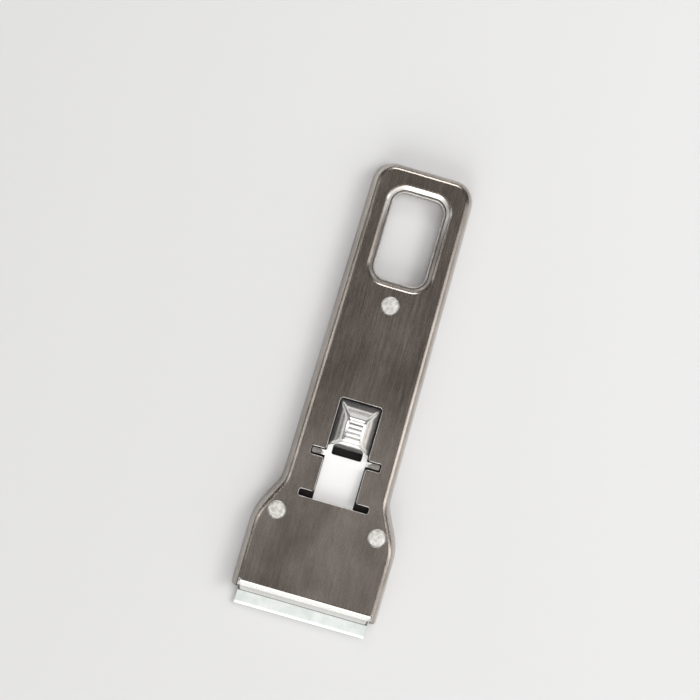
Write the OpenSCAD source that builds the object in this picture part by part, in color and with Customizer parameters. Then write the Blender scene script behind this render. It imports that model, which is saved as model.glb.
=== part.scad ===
// Ceramic hob scraper: a stamped steel body, a sliding blade carrier and a sprung thumb latch.
// Lengths are in mm and angles in degrees. The scraper lies on its back: X runs across it,
// Y from the blade towards the hang hole, and Z up from the table to the front face.
// Pieces are drawn with y = 0 at the mouth of the body, then moved so that the origin is
// on the table below the middle of the whole scraper.

/* [Body] */
// Length of the body from its mouth to the end of the handle
body_len = 133.5; // [128:0.5:150]
// Height of the front face above the table
body_h = 6.6; // [6.4:0.1:8]
// Width by which the head stands out past the blade on each side, at the table
head_margin = 2.4; // [2.3:0.1:4]
// Width across the neck at the table
neck_w = 33.2; // [31:0.2:36]
// Lean of each side of the handle towards the middle
handle_taper = 0.7; // [0:0.1:1]
// Length of the head's parallel sides
head_side = 19; // [17:0.5:22]
// Slope of the shoulders
shoulder_angle = 26; // [22:1:34]
// Radius of the shoulder where it leaves the head
shoulder_r = 14; // [8:0.5:15]
// Radius of the shoulder where it meets the handle
neck_r = 11; // [6:0.5:14]
// Corner radius of the flat face at the end of the handle
end_r = 4; // [2:0.5:7]

/* [Sheet] */
// Thickness of the front shell
sheet_t = 0.8; // [0.6:0.1:1]
// Outer radius of the bend between the face and the side walls
edge_r = 2; // [1.2:0.1:2.4]
// Lean of the side walls out from upright
wall_lean = 9; // [4:0.5:11]
// Thickness of the back plate
plate_t = 0.8; // [0.6:0.1:0.9]
// Gap between the back plate and the side walls
plate_gap = 0.1; // [0.05:0.05:0.3]
// Rounding of the lower front corner of each side wall
corner_round = 1; // [0.4:0.1:1.5]

/* [Nose] */
// Slope of the nose, measured down from the face
nose_angle = 70; // [60:1:80]
// Inner radius of the bend into the nose
nose_r = 0.5; // [0.3:0.1:1]
// Height of the nose's lower edge over the blade carrier
nose_gap = 0.25; // [0.15:0.05:0.5]
// Width of the slit between the nose and each side wall
nose_slit = 0.3; // [0.2:0.05:0.5]

/* [Hang hole] */
// Width of the hang hole
hole_w = 15.6; // [12:0.2:18]
// Length of the hang hole
hole_len = 26.4; // [18:0.2:30]
// Corner radius of the hang hole
hole_r = 3.7; // [2:0.1:6]
// Distance from the end of the handle to the near edge of the hang hole
hole_end = 8.1; // [7:0.1:12]
// Wall of the back plate's collar round the hang hole
collar_t = 0.6; // [0.4:0.1:0.8]
// Width of the dished rim round the hang hole, measured on the face
dish_w = 2.7; // [2.4:0.1:3.2]
// Slope of the dished rim
dish_angle = 50; // [35:1:60]

/* [Rivets] */
// Diameter of the rivet heads in the face
rivet_d = 5.2; // [4.4:0.1:5.3]
// Distance from the head's parallel sides back to the shoulder rivets
rivet_back = 5.7; // [4.8:0.1:6.4]
// Distance from the sloped edge of the face to the shoulder rivets
rivet_edge = 2.75; // [2.75:0.05:3.5]
// Distance from the hang hole forward to the handle rivet
rivet_to_hole = 7.3; // [7:0.1:12]
// Diameter of the rivet shanks
shank_d = 2.2; // [1.8:0.1:2.4]

/* [Window] */
// Width of the window
window_w = 12.9; // [12.7:0.1:14]
// Length of the window
window_len = 31.3; // [30.8:0.1:33]
// Distance from the mouth to the window
window_y = 30.7; // [30.2:0.1:32]
// Span across each pair of notches
notch_span = 21.5; // [21.2:0.1:23]
// Length of the front notches along the scraper
front_notch = 2.1; // [2.05:0.05:3]
// Length of the rear notches along the scraper
rear_notch = 2.6; // [2.2:0.1:3]

/* [Blade and carrier] */
// Width of the blade
blade_w = 40; // [36:0.5:45]
// Length of the blade from its edge to its back
blade_len = 22; // [20:0.5:23]
// Thickness of the blade
blade_t = 0.35; // [0.2:0.05:0.4]
// Length of blade out of the mouth at rest
blade_out = 5.5; // [4:0.5:7]
// Length of the blade's ground edge
grind = 0.7; // [0.4:0.1:1.5]
// Distance from the blade's back to its peg holes
peg_back = 10; // [8:0.5:12]
// Distance between the two blade pegs
peg_span = 18; // [14:0.5:24]
// Diameter of the blade pegs
peg_d = 3; // [2.4:0.1:4]
// Play of the blade on its pegs, all round
peg_play = 0.15; // [0.05:0.05:0.3]
// Thickness of the blade carrier
carrier_t = 0.8; // [0.6:0.1:0.9]
// Width by which the carrier stays inside the blade on each side
carrier_inset = 0.4; // [0:0.1:1.5]
// Length of the blade carrier out of the mouth at rest
carrier_out = 1.2; // [0.6:0.1:2]
// Travel of the slider between the two pairs of notches
travel = 12.9; // [11:0.1:13]

/* [Latch leaf] */
// Thickness of the spring leaf
leaf_t = 0.5; // [0.4:0.05:0.6]
// Width of the spring leaf
leaf_w = 12.4; // [11:0.1:12.5]
// Length of the leaf's riveted foot
foot_len = 5; // [4.4:0.1:5.6]
// Length of each ear along the scraper
ear_len = 1.6; // [1.4:0.1:1.6]
// Span across the ears
ear_span = 20.8; // [19:0.1:20.9]
// Turn of the leaf from rest up into the notches
latch_up = 2; // [1.8:0.05:2.2]
// Turn of the leaf from rest down to fully pressed
latch_down = 3.5; // [2.5:0.1:3.8]
// Diameter of the rivets in the foot
pin_d = 2; // [1.6:0.1:2.4]
// Distance between the rivets in the foot
pin_span = 6.6; // [5.6:0.1:7]

/* [Thumb button] */
// Height of the button's pad above the face
button_h = 3.2; // [2:0.1:5]
// Length of the button's base
button_len = 14.2; // [12:0.1:14.4]
// Length of the pad
pad_len = 6.7; // [5:0.1:8]
// Width of the pad
pad_w = 5.5; // [4:0.1:7]
// Distance from the front of the base to the front of the pad
pad_front = 2.6; // [1.6:0.1:3.5]
// Wall of the button
button_t = 0.5; // [0.4:0.05:0.6]
// Number of ribs across the pad
ribs = 5; // [3:1:6]
// Width of each rib
rib_w = 0.8; // [0.5:0.1:0.8]
// Length of the slot in front of the button, across the leaf
slot_w = 9.2; // [7:0.1:10]
// Length of the slot along the scraper
slot_len = 3; // [2.4:0.1:3.2]

/* [Hidden] */
$fn = 48;

// Colours of the steels
brushed = [0.47, 0.44, 0.41];
bright = [0.86, 0.86, 0.84];
pale = [0.78, 0.82, 0.8];

// Overlap of shapes that are cut, and of shapes that are joined
eps = 0.01;
lap = 0.5;
wedge = 0.1;
seam_lap = 0.1;
seam_step = 0.005;
face_shift = 0.06;

// Heights of the stack, from the table up
face_under = body_h - sheet_t;
blade_gap = 0.15;
blade_z = plate_t + blade_gap;
carrier_z = blade_z + blade_t;
carrier_top = carrier_z + carrier_t;
nose_z = carrier_top + nose_gap;

// Widths that follow the blade
head_w = blade_w + 2 * head_margin;
carrier_w = blade_w - 2 * carrier_inset;

// Side wall, measured outwards from the edge of the flat face
wall_top = body_h - edge_r * (1 - sin(wall_lean));
wall_run = edge_r * cos(wall_lean) + wall_top * tan(wall_lean);
function inner_run(z) = wall_run - sheet_t / cos(wall_lean) - z * tan(wall_lean);

// Right-hand side of the flat face: head, shoulder arc, slope, neck arc, handle, end arc
face_half = head_w / 2 - wall_run;
neck_half = neck_w / 2 - wall_run;
shoulder_c = [face_half - shoulder_r, head_side];
slope_dir = [-sin(shoulder_angle), cos(shoulder_angle)];
slope_out = [cos(shoulder_angle), sin(shoulder_angle)];
handle_out = [cos(handle_taper), sin(handle_taper)];
slope_a = shoulder_c + shoulder_r * slope_out;
neck_x = neck_half + neck_r * handle_out.x;
slope_len = (slope_a.x - neck_x + neck_r * slope_out.x) / sin(shoulder_angle);
slope_b = slope_a + slope_len * slope_dir;
neck_c = slope_b + neck_r * slope_out;
handle_a = neck_c - neck_r * handle_out;
face_end = body_len - wall_run;
end_y = face_end - end_r;
end_c = [handle_a.x - (end_y - handle_a.y) * tan(handle_taper) - end_r / handle_out.x, end_y];
handle_b = end_c + end_r * handle_out;
handle_side = norm(handle_b - handle_a);

// Nose: where the flat face stops, and how long the slope below its bend is
nose_out = nose_r + sheet_t;
nose_fall = body_h - nose_z - nose_out * (1 - cos(nose_angle)) - sheet_t * cos(nose_angle);
nose_slope = nose_fall / sin(nose_angle);
nose_y = nose_out * sin(nose_angle) + nose_slope * cos(nose_angle);
nose_half = face_half + lap;
slit_end = 0.05;

// Hang hole, its dished rim and the collar that comes up inside it
hole_c = [0, body_len - hole_end - hole_len / 2];
dish_r = 1.4;
dish_gap = 0.55;
dish_cut = dish_w + lap / 2;
collar_gap = 0.9;
collar_h = face_under - collar_gap;

// Rivets in their seats, and the bosses that they pull up to the face
seat_t = 0.5;
seat_gap = 0.1;
head_sink = 0.06;
hole_gap = 0.05;
tail_lip = 0.6;
tail_d = shank_d + 2 * tail_lip;
tail_t = 0.5;
boss_top_r = rivet_d / 2 + seat_gap;
boss_flare = 1.3;
boss_base_r = boss_top_r + boss_flare;
shoulder_rivet_y = head_side + rivet_back;
shoulder_rivet_x = slope_a.x - (rivet_edge - (slope_a.y - shoulder_rivet_y) * slope_out.y) / slope_out.x;
handle_rivet_y = hole_c.y - hole_len / 2 - rivet_to_hole;
rivet_places = [
    [-shoulder_rivet_x, shoulder_rivet_y], [shoulder_rivet_x, shoulder_rivet_y], [0, handle_rivet_y]
];

// Back plate and its guide rails
plate_run = inner_run(plate_t) - plate_gap;
plate_front = 0.4;
rail_gap = 0.25;
rail_start = 2;

// Window and notches, and the ears that stand under them
ear_play = 0.3;
ear_y = window_y + travel + ear_play;
rear_notch_y = ear_y + (ear_len - rear_notch) / 2;
window_end = window_y + window_len;
window_r = 1;
notch_r = 0.6;

// Carrier, and the rivets that the leaf turns about
carrier_r = 0.8;
boss_gap = 0.3;
carrier_back = shoulder_rivet_y - boss_base_r - boss_gap;
carrier_len = carrier_back + carrier_out;
peg_y = blade_len - blade_out - peg_back;
edge_t = 0.05;
foot_play = 0.05;
pin_y = carrier_back - foot_len / 2;
pin_lip = 0.7;
pin_head_d = pin_d + 2 * pin_lip;
pin_head_t = 0.5;
pin_play = 0.1;
foot_z = carrier_top + foot_len / 2 * sin(latch_down) + foot_play;
pin_head_z = foot_z + leaf_t + pin_head_d / 2 * sin(latch_down) + foot_play;

// Leaf: a shelf under the ears, low enough to stay below the face when the ears are up
ear_gap = 0.1;
ear_top = face_under - ear_gap;
shelf_top = ear_top - (ear_y + ear_len - pin_y) * sin(latch_up);
shelf_z = shelf_top - leaf_t;
ramp_y = carrier_back + lap;
shelf_y = ear_y - lap;
ramp_angle = atan2(shelf_z - foot_z, shelf_y - ramp_y);
ear_rise = ear_top - shelf_top;
ear_flat = 0.2;

// Button over the back of the leaf
button_gap = 0.5;
tab_t = 0.4;
wall_spread = 1.2;
leaf_end = window_end - button_gap - tab_t;
button_back = leaf_end + tab_t;
button_front = button_back - button_len;
button_top = body_h + button_h;
tab_w = 6;
tab_foot = 2;
tab_gap = 0.2;
slot_y = button_front + tab_t + tab_gap - slot_len;

// Plan of the body, run mm outside the edge of the flat face
module half_plan(run) {
    difference() {
        union() {
            polygon([
                [-lap, 0], [face_half + run, 0], [face_half + run, head_side],
                slope_a + run * slope_out, slope_b + run * slope_out, neck_c,
                handle_a + run * handle_out, handle_b + run * handle_out,
                end_c + [0, end_r + run], [-lap, face_end + run]
            ]);
            translate(shoulder_c) circle(shoulder_r + run);
            translate(end_c) circle(end_r + run);
        }
        translate(neck_c) circle(neck_r - run);
    }
}

module plan(run) {
    half_plan(run);
    mirror([1, 0]) half_plan(run);
}

// Flat part of the face, whose corners keep clear of the seams in the side walls
module face_plan() {
    both_sides() translate([-face_shift, -face_shift]) half_plan(-lap / 2);
}

module both_sides() {
    children();
    mirror([1, 0, 0]) children();
}

// Rounded rectangle about the origin
module rounded(w, l, r) {
    square([w - 2 * r, l], center = true);
    square([w, l - 2 * r], center = true);
    for (x = [-1, 1], y = [-1, 1])
        translate([x * (w / 2 - r), y * (l / 2 - r)]) circle(r);
}

// Part of a ring between two angles less than 180 degrees apart
module sector(r_in, r_out, from, to) {
    far = 2 * r_out / cos((to - from) / 2);
    intersection() {
        difference() {
            circle(r_out);
            circle(r_in);
        }
        polygon([
            [0, 0], far * [cos(from), sin(from)],
            far * [cos((from + to) / 2), sin((from + to) / 2)], far * [cos(to), sin(to)]
        ]);
    }
}

// Sheet bent down over the edge of a flat: x runs along the flat, y is height, the outside
// of the bend has radius r, and the sheet turns towards -x and goes on down a slope.
// The inset thins the sheet from both sides
module bent_edge(at, r, angle, slope, inset = 0) {
    dir = [-cos(angle), -sin(angle)];
    out = [-sin(angle), cos(angle)];
    c = [at, body_h - r];
    r_out = r - inset;
    r_in = r - sheet_t + inset;
    mid = (r_in + r_out) / 2;
    polygon([
        c + [0, r_in], c + [lap, r_in], c + [lap, r_out], c + [0, r_out], c + [-wedge, mid]
    ]);
    translate(c) sector(r_in, r_out, 90, 90 + angle);
    polygon([
        c + r_in * out, c + mid * out - wedge * dir, c + r_out * out,
        c + r_out * out + slope * dir, c + r_in * out + slope * dir
    ]);
}

// Section of the side wall: x runs outwards from the edge of the flat face
module wall_section(inset = 0) {
    mirror([1, 0]) difference() {
        bent_edge(0, edge_r, 90 - wall_lean, body_h / cos(wall_lean), inset);
        translate([-wall_run - body_h, -body_h]) square([wall_run + body_h + lap, body_h]);
    }
}

// The side wall is drawn as a path: each stretch starts where the one before it ends, heads
// along +Y of its own frame, and passes on the frame at its far end. Straight stretches are a
// few microns thinner than the bends and run on into them, so that the seams close
module run(length) {
    translate([0, length + seam_lap, 0]) rotate([90, 0, 0])
        linear_extrude(length + 2 * seam_lap) wall_section(seam_step);
    translate([0, length, 0]) children();
}

module bend_left(r, angle) {
    translate([-r, 0, 0]) {
        rotate_extrude(angle = angle) translate([r, 0]) wall_section();
        rotate([0, 0, angle]) translate([r, 0, 0]) children();
    }
}

module bend_right(r, angle) {
    translate([r, 0, 0]) {
        rotate([0, 0, 180 - angle]) rotate_extrude(angle = angle)
            translate([r, 0]) mirror([1, 0]) wall_section();
        rotate([0, 0, -angle]) translate([-r, 0, 0]) children();
    }
}

module side_walls() {
    both_sides() translate([face_half, 0, 0]) run(head_side)
        bend_left(shoulder_r, shoulder_angle) run(slope_len)
        bend_right(neck_r, shoulder_angle - handle_taper) run(handle_side)
        bend_left(end_r, 90 - handle_taper);
    translate([end_c.x, face_end, 0]) rotate([0, 0, 90]) run(2 * end_c.x);
}

// Section of the dished rim: x runs outwards from the edge of the hang hole
module dish_section() {
    slope = (dish_w - dish_r * sin(dish_angle) - collar_t - dish_gap) / cos(dish_angle);
    bent_edge(dish_w, dish_r, dish_angle, slope);
}

module dish() {
    half_w = hole_w / 2 - hole_r;
    half_l = hole_len / 2 - hole_r;
    translate(hole_c) {
        both_sides() translate([half_w + hole_r, half_l, 0])
            rotate([90, 0, 0]) linear_extrude(2 * half_l) dish_section();
        for (turn = [0, 180])
            rotate([0, 0, turn]) translate([-half_w, half_l + hole_r, 0]) rotate([0, 0, 90])
                rotate([90, 0, 0]) linear_extrude(2 * half_w) dish_section();
        for (x = [-1, 1], y = [-1, 1])
            translate([x * half_w, y * half_l, 0]) rotate([0, 0, x > 0 ? (y > 0 ? 0 : 270) : (y > 0 ? 90 : 180)])
                rotate_extrude(angle = 90) translate([hole_r, 0]) dish_section();
    }
}

// What rounds off the sheet's corner where a notch meets the window
module corner_relief(x, y, along) {
    both_sides() translate([x, y]) difference() {
        translate([0, along > 0 ? 0 : -notch_r]) square(notch_r);
        translate([notch_r, along * notch_r]) circle(notch_r);
    }
}

module window_plan() {
    translate([0, (window_y + window_end) / 2]) rounded(window_w, window_len, window_r);
    translate([0, window_y + front_notch / 2]) rounded(notch_span, front_notch, notch_r);
    translate([-window_w / 2, window_y]) square([window_w, 2 * window_r]);
    translate([0, rear_notch_y + rear_notch / 2]) rounded(notch_span, rear_notch, notch_r);
    corner_relief(window_w / 2, window_y + front_notch, 1);
    corner_relief(window_w / 2, rear_notch_y, -1);
    corner_relief(window_w / 2, rear_notch_y + rear_notch, 1);
}

module nose() {
    difference() {
        translate([-nose_half, 0, 0]) rotate([90, 0, 90]) linear_extrude(2 * nose_half)
            bent_edge(nose_y, nose_out, nose_angle, nose_slope);
        both_sides() translate([face_half - lap / 2, nose_y, 0]) cube([head_w, 2 * lap, body_h + eps]);
    }
}

module front_shell() {
    color(brushed) difference() {
        union() {
            translate([0, 0, face_under]) linear_extrude(sheet_t) difference() {
                face_plan();
                translate([-head_w, -body_len]) square([2 * head_w, body_len + nose_y + lap / 2]);
                translate(hole_c) rounded(hole_w + 2 * dish_cut, hole_len + 2 * dish_cut, hole_r + dish_cut);
            }
            difference() {
                side_walls();
                translate([-head_w, -lap, -eps]) cube([2 * head_w, lap, body_h + 2 * eps]);
                translate([-nose_half - nose_slit, -lap, -eps])
                    cube([2 * (nose_half + nose_slit), lap + nose_y + slit_end, body_h + 2 * eps]);
                translate([-head_w, 0, 0]) rotate([90, 0, 90]) linear_extrude(2 * head_w) difference() {
                    translate([-eps, -eps]) square(corner_round + eps);
                    translate([corner_round, corner_round]) circle(corner_round);
                }
            }
            nose();
            dish();
        }
        translate([0, 0, face_under - eps]) linear_extrude(sheet_t + 2 * eps) window_plan();
        for (at = rivet_places) translate(at) {
            translate([0, 0, face_under - eps]) cylinder(d = shank_d + 2 * hole_gap, h = sheet_t);
            translate([0, 0, body_h - seat_t]) cylinder(r = boss_top_r, h = seat_t + eps);
        }
    }
}

// Boss drawn up from the back plate, open below, that carries the face at a rivet
module boss() {
    cylinder(h = face_under, r1 = boss_base_r, r2 = boss_top_r);
}

module boss_hollow() {
    translate([0, 0, -eps])
        cylinder(h = face_under - plate_t + eps, r1 = boss_base_r - plate_t, r2 = boss_top_r - plate_t);
    cylinder(h = body_h, d = shank_d + 2 * hole_gap);
}

module back_plate() {
    color(brushed) difference() {
        union() {
            linear_extrude(plate_t) difference() {
                plan(plate_run);
                translate([-head_w, -body_len]) square([2 * head_w, body_len + plate_front]);
            }
            for (at = rivet_places) translate(at) boss();
            translate(hole_c) linear_extrude(collar_h)
                rounded(hole_w + 2 * collar_t, hole_len + 2 * collar_t, hole_r + collar_t);
            both_sides() translate([blade_w / 2 + rail_gap, rail_start, 0])
                cube([plate_t, head_side - rail_start, carrier_top]);
        }
        for (at = rivet_places) translate(at) boss_hollow();
        translate(hole_c) translate([0, 0, -eps])
            linear_extrude(collar_h + 2 * eps) rounded(hole_w, hole_len, hole_r);
    }
}

// Rivet with its head in the face and its tail closed under the boss
module rivet(at) {
    tail_z = face_under - plate_t;
    color(bright) translate(at) {
        translate([0, 0, body_h - seat_t]) cylinder(d = rivet_d, h = seat_t - head_sink);
        translate([0, 0, tail_z - tail_t]) cylinder(d = shank_d, h = body_h - seat_t - tail_z + tail_t + eps);
        translate([0, 0, tail_z - tail_t]) cylinder(d = tail_d, h = tail_t);
    }
}

module left_rivet() {
    rivet(rivet_places[0]);
}

module right_rivet() {
    rivet(rivet_places[1]);
}

module handle_rivet() {
    rivet(rivet_places[2]);
}

module at_pegs() {
    for (x = [-1, 1]) translate([x * peg_span / 2, peg_y, 0]) children();
}

module at_pins() {
    for (x = [-1, 1]) translate([x * pin_span / 2, pin_y, 0]) children();
}

module blade_carrier() {
    color(bright) difference() {
        translate([0, carrier_back - carrier_len / 2, carrier_z])
            linear_extrude(carrier_t) rounded(carrier_w, carrier_len, carrier_r);
        at_pegs() cylinder(d = peg_d, h = body_h);
        at_pins() cylinder(d = pin_d, h = body_h);
    }
}

module blade_pegs() {
    color(bright) at_pegs() translate([0, 0, blade_z]) cylinder(d = peg_d, h = blade_t + carrier_t);
}

module blade() {
    front = -blade_out;
    color(pale) difference() {
        translate([-blade_w / 2, 0, 0]) rotate([90, 0, 90]) linear_extrude(blade_w) polygon([
            [front, blade_z], [front + blade_len, blade_z], [front + blade_len, carrier_z],
            [front + grind, carrier_z], [front, blade_z + edge_t]
        ]);
        at_pegs() cylinder(d = peg_d + 2 * peg_play, h = body_h);
    }
}

// One ear, raised off the shelf of the leaf
module ear() {
    start = leaf_w / 2 - lap;
    foot = leaf_w / 2 + ear_flat;
    tip = foot + ear_rise;
    translate([0, ear_y + ear_len, 0]) rotate([90, 0, 0]) linear_extrude(ear_len) polygon([
        [start, shelf_z], [foot, shelf_z], [tip, ear_top - leaf_t], [ear_span / 2, ear_top - leaf_t],
        [ear_span / 2, ear_top], [tip - leaf_t / 2, ear_top], [foot - leaf_t / 2, shelf_top], [start, shelf_top]
    ]);
}

module latch_leaf() {
    foot_front = carrier_back - foot_len;
    mitre = leaf_t * tan(ramp_angle / 2);
    color(bright) difference() {
        union() {
            translate([-leaf_w / 2, 0, 0]) rotate([90, 0, 90]) linear_extrude(leaf_w) polygon([
                [foot_front, foot_z], [ramp_y, foot_z], [shelf_y, shelf_z], [leaf_end, shelf_z],
                [leaf_end, shelf_top], [shelf_y - mitre, shelf_top],
                [ramp_y - mitre, foot_z + leaf_t], [foot_front, foot_z + leaf_t]
            ]);
            both_sides() ear();
        }
        at_pins() cylinder(d = pin_d + 2 * pin_play, h = body_h);
        translate([0, slot_y + slot_len / 2, 0]) linear_extrude(body_h) rounded(slot_w, slot_len, notch_r);
    }
}

module leaf_rivets() {
    color(bright) at_pins() {
        translate([0, 0, carrier_z]) cylinder(d = pin_d, h = pin_head_z - carrier_z + eps);
        translate([0, 0, pin_head_z]) cylinder(d = pin_head_d, h = pin_head_t);
    }
}

// Four-sided block that narrows upwards, for the outside and the inside of the button
module frustum(inset, top) {
    base = shelf_top - (inset > 0 ? eps : 0);
    side = inset * wall_spread;
    intersection() {
        translate([0, button_back, 0]) rotate([90, 0, 0]) linear_extrude(button_len) polygon([
            [side - leaf_w / 2, base], [leaf_w / 2 - side, base],
            [pad_w / 2 - side / 2, top], [side / 2 - pad_w / 2, top]
        ]);
        translate([-leaf_w / 2, 0, 0]) rotate([90, 0, 90]) linear_extrude(leaf_w) polygon([
            [button_front + side, base], [button_back - side, base],
            [button_front + pad_front + pad_len - side / 2, top], [button_front + pad_front + side / 2, top]
        ]);
    }
}

// Tab that goes down past the leaf and is closed under it
module button_tab(y, foot_dir) {
    translate([-tab_w / 2, y, shelf_z - tab_t]) cube([tab_w, tab_t, leaf_t + tab_t + eps]);
    translate([-tab_w / 2, foot_dir > 0 ? y : y + tab_t - tab_foot, shelf_z - tab_t])
        cube([tab_w, tab_foot, tab_t]);
}

module thumb_button() {
    rib_pitch = pad_len / ribs;
    color(bright) {
        difference() {
            frustum(0, button_top);
            frustum(button_t, button_top - button_t);
        }
        for (i = [0 : ribs - 1])
            translate([0, button_front + pad_front + (i + 0.5) * rib_pitch, button_top])
                rotate([0, 90, 0]) cylinder(d = rib_w, h = pad_w - 2 * rib_w, center = true);
        button_tab(button_front, 1);
        button_tab(button_back - tab_t, -1);
    }
}

// Moves a piece from the mouth of the body to the middle of the whole scraper
module placed() {
    translate([0, (blade_out - body_len) / 2, 0]) children();
}

placed() front_shell();
placed() back_plate();
placed() handle_rivet();
placed() left_rivet();
placed() right_rivet();
placed() blade_carrier();
placed() blade_pegs();
placed() blade();
placed() latch_leaf();
placed() leaf_rivets();
placed() thumb_button();
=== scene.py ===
import bmesh
import bpy
import math
from mathutils import Matrix, Vector


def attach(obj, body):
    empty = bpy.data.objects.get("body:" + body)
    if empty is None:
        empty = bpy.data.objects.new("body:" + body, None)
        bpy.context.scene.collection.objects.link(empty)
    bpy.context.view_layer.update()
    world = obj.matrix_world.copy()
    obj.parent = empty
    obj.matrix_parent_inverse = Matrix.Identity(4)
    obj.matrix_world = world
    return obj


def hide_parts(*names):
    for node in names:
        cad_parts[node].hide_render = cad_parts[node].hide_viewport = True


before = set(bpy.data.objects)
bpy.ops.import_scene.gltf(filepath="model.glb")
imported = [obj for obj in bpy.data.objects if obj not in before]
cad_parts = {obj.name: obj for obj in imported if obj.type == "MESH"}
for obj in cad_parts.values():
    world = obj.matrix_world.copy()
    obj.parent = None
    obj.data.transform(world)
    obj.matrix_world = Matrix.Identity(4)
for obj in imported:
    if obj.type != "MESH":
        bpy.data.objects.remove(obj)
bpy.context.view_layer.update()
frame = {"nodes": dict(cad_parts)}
print("frame loaded:", ", ".join(frame["nodes"]))

# Pieces are drawn in mm with y = 0 at the mouth of the body and then moved to the frame,
# whose origin is below the middle of the scraper.
millimetre = 0.001
benchToFrame = Matrix.Translation((0, -0.064, 0)) @ Matrix.Scale(millimetre, 4)
acrossView = Vector((1, 0, 0))
upView = Vector((0, 0, 1))
weldDistance = 1e-4
touching = 1e-3  # mm, for points that lie on a line or a plane
sharpAngle = 38  # degrees, above which an edge is shaded sharp
arcStep = {"usual": 7.5, "outline": 3.7, "window": 18, "leaf": 22}  # degrees for each step round a corner


# Drawing: a few points are pulled straight or spun round a centre, as a pen or as a bent sheet.
def onlyVerts(geom):
    return [g for g in geom if isinstance(g, bmesh.types.BMVert)]


def onlyEdges(geom):
    return [g for g in geom if isinstance(g, bmesh.types.BMEdge)]


def pull(bm, geom, step):
    edges = onlyEdges(geom)
    if edges:
        made = bmesh.ops.extrude_edge_only(bm, edges=edges)["geom"]
        verts = onlyVerts(made)
        fresh = set(verts)
        ends = [e for e in onlyEdges(made) if e.verts[0] in fresh and e.verts[1] in fresh]
        bmesh.ops.translate(bm, verts=verts, vec=step)
        return verts + ends
    verts = bmesh.ops.extrude_vert_indiv(bm, verts=onlyVerts(geom))["verts"]
    bmesh.ops.translate(bm, verts=verts, vec=step)
    return list(verts)


def swing(bm, geom, centre, axis, degrees, steps):
    spun = bmesh.ops.spin(
        bm, geom=geom, cent=centre, axis=axis, dvec=(0, 0, 0), angle=math.radians(degrees),
        steps=steps, use_merge=False, use_normal_flip=False, use_duplicate=False)
    return spun["geom_last"]


def travel(bm, geom, place, heading, moves, stepAngle=arcStep["usual"]):
    place = Vector((place[0], place[1], 0))
    for move in moves:
        ahead = Vector((math.cos(math.radians(heading)), math.sin(math.radians(heading)), 0))
        if move[0] == "go":
            geom = pull(bm, geom, ahead * move[1])
            place += ahead * move[1]
        else:
            radius, turn = move[1], move[2]
            side = Vector((-ahead.y, ahead.x, 0)) * math.copysign(radius, turn)
            centre = place + side
            steps = max(2, round(abs(turn) / stepAngle))
            geom = swing(bm, geom, centre, upView, turn, steps)
            place = centre + Matrix.Rotation(math.radians(turn), 3, "Z") @ (place - centre)
            heading += turn
    return geom


def drawApart(bm, place):
    known = set(bm.verts[:])
    first = bm.verts.new(place)

    def drawn():
        fresh = [v for v in bm.verts if v not in known]
        return fresh + [e for e in bm.edges if e.verts[0] not in known]
    return [first], drawn


def mirrorAcross(bm):
    bmesh.ops.mirror(
        bm, geom=bm.verts[:] + bm.edges[:] + bm.faces[:], matrix=Matrix.Identity(4),
        merge_dist=weldDistance, axis="X")
    bmesh.ops.remove_doubles(bm, verts=bm.verts[:], dist=weldDistance)


def facingUp(bm, height):
    bmesh.ops.recalc_face_normals(bm, faces=bm.faces[:])
    level = [f for f in bm.faces if abs(f.calc_center_median().z - height) < touching]
    flat = [f for f in level if abs(f.normal.z) > 0.9]
    if sum(f.calc_area() * f.normal.z for f in flat) < 0:
        bmesh.ops.reverse_faces(bm, faces=bm.faces[:])


def finishPiece(
        name, bm, material, body, nodes, thickness=0, bevel=0, bevelAngle=50, edgeMaterial=None):
    bmesh.ops.transform(bm, matrix=benchToFrame, verts=bm.verts[:])
    mesh = bpy.data.meshes.new(name)
    bm.to_mesh(mesh)
    bm.free()
    mesh.polygons.foreach_set("use_smooth", [True] * len(mesh.polygons))
    mesh.set_sharp_from_angle(angle=math.radians(sharpAngle))
    mesh.materials.append(material)
    piece = bpy.data.objects.new(name, mesh)
    bpy.context.scene.collection.objects.link(piece)
    if thickness:
        wall = piece.modifiers.new("sheet", "SOLIDIFY")
        wall.thickness = thickness * millimetre
        wall.offset = -1
        wall.use_even_offset = True
        wall.use_quality_normals = True
        wall.material_offset_rim = 1 if edgeMaterial else 0
    if bevel:
        rounding = piece.modifiers.new("punched edges", "BEVEL")
        rounding.width = bevel * millimetre
        rounding.segments = 2
        rounding.limit_method = "ANGLE"
        rounding.angle_limit = math.radians(bevelAngle)
        rounding.use_clamp_overlap = False
        if edgeMaterial:
            mesh.materials.append(edgeMaterial)
            rounding.material = 1
        shading = piece.modifiers.new("even shading", "WEIGHTED_NORMAL")
        shading.keep_sharp = True
    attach(piece, body)
    if nodes:
        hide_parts(*nodes)
    print("made", name)


# Shader node groups and materials. A scale is repeats per metre along x, y and z.
brushingLook = {
    "fine": {"scale": (7000, 150, 7000), "detail": 3, "roughness": 0.7, "share": 0.7},
    "broad": {"scale": (2200, 40, 2200), "detail": 2, "roughness": 0.5, "share": 0.3},
    "clouds": {"scale": (60, 38, 60), "detail": 4, "roughness": 0.6},
    "bumpHeight": 0.00002, "toneRange": (0.38, 0.62), "roughRange": (0.3, 0.7),
}
mottleLook = {"detail": 4, "bumpHeight": 0.00008, "toneRange": (0.35, 0.65), "roughRange": (0.3, 0.7)}


def newGroup(name, inputs, outputs):
    group = bpy.data.node_groups.new(name, "ShaderNodeTree")
    for label, kind, value in inputs:
        socket = group.interface.new_socket(name=label, in_out="INPUT", socket_type=kind)
        socket.default_value = value
    for label, kind in outputs:
        group.interface.new_socket(name=label, in_out="OUTPUT", socket_type=kind)
    return group, group.nodes.new("NodeGroupInput"), group.nodes.new("NodeGroupOutput")


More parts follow.
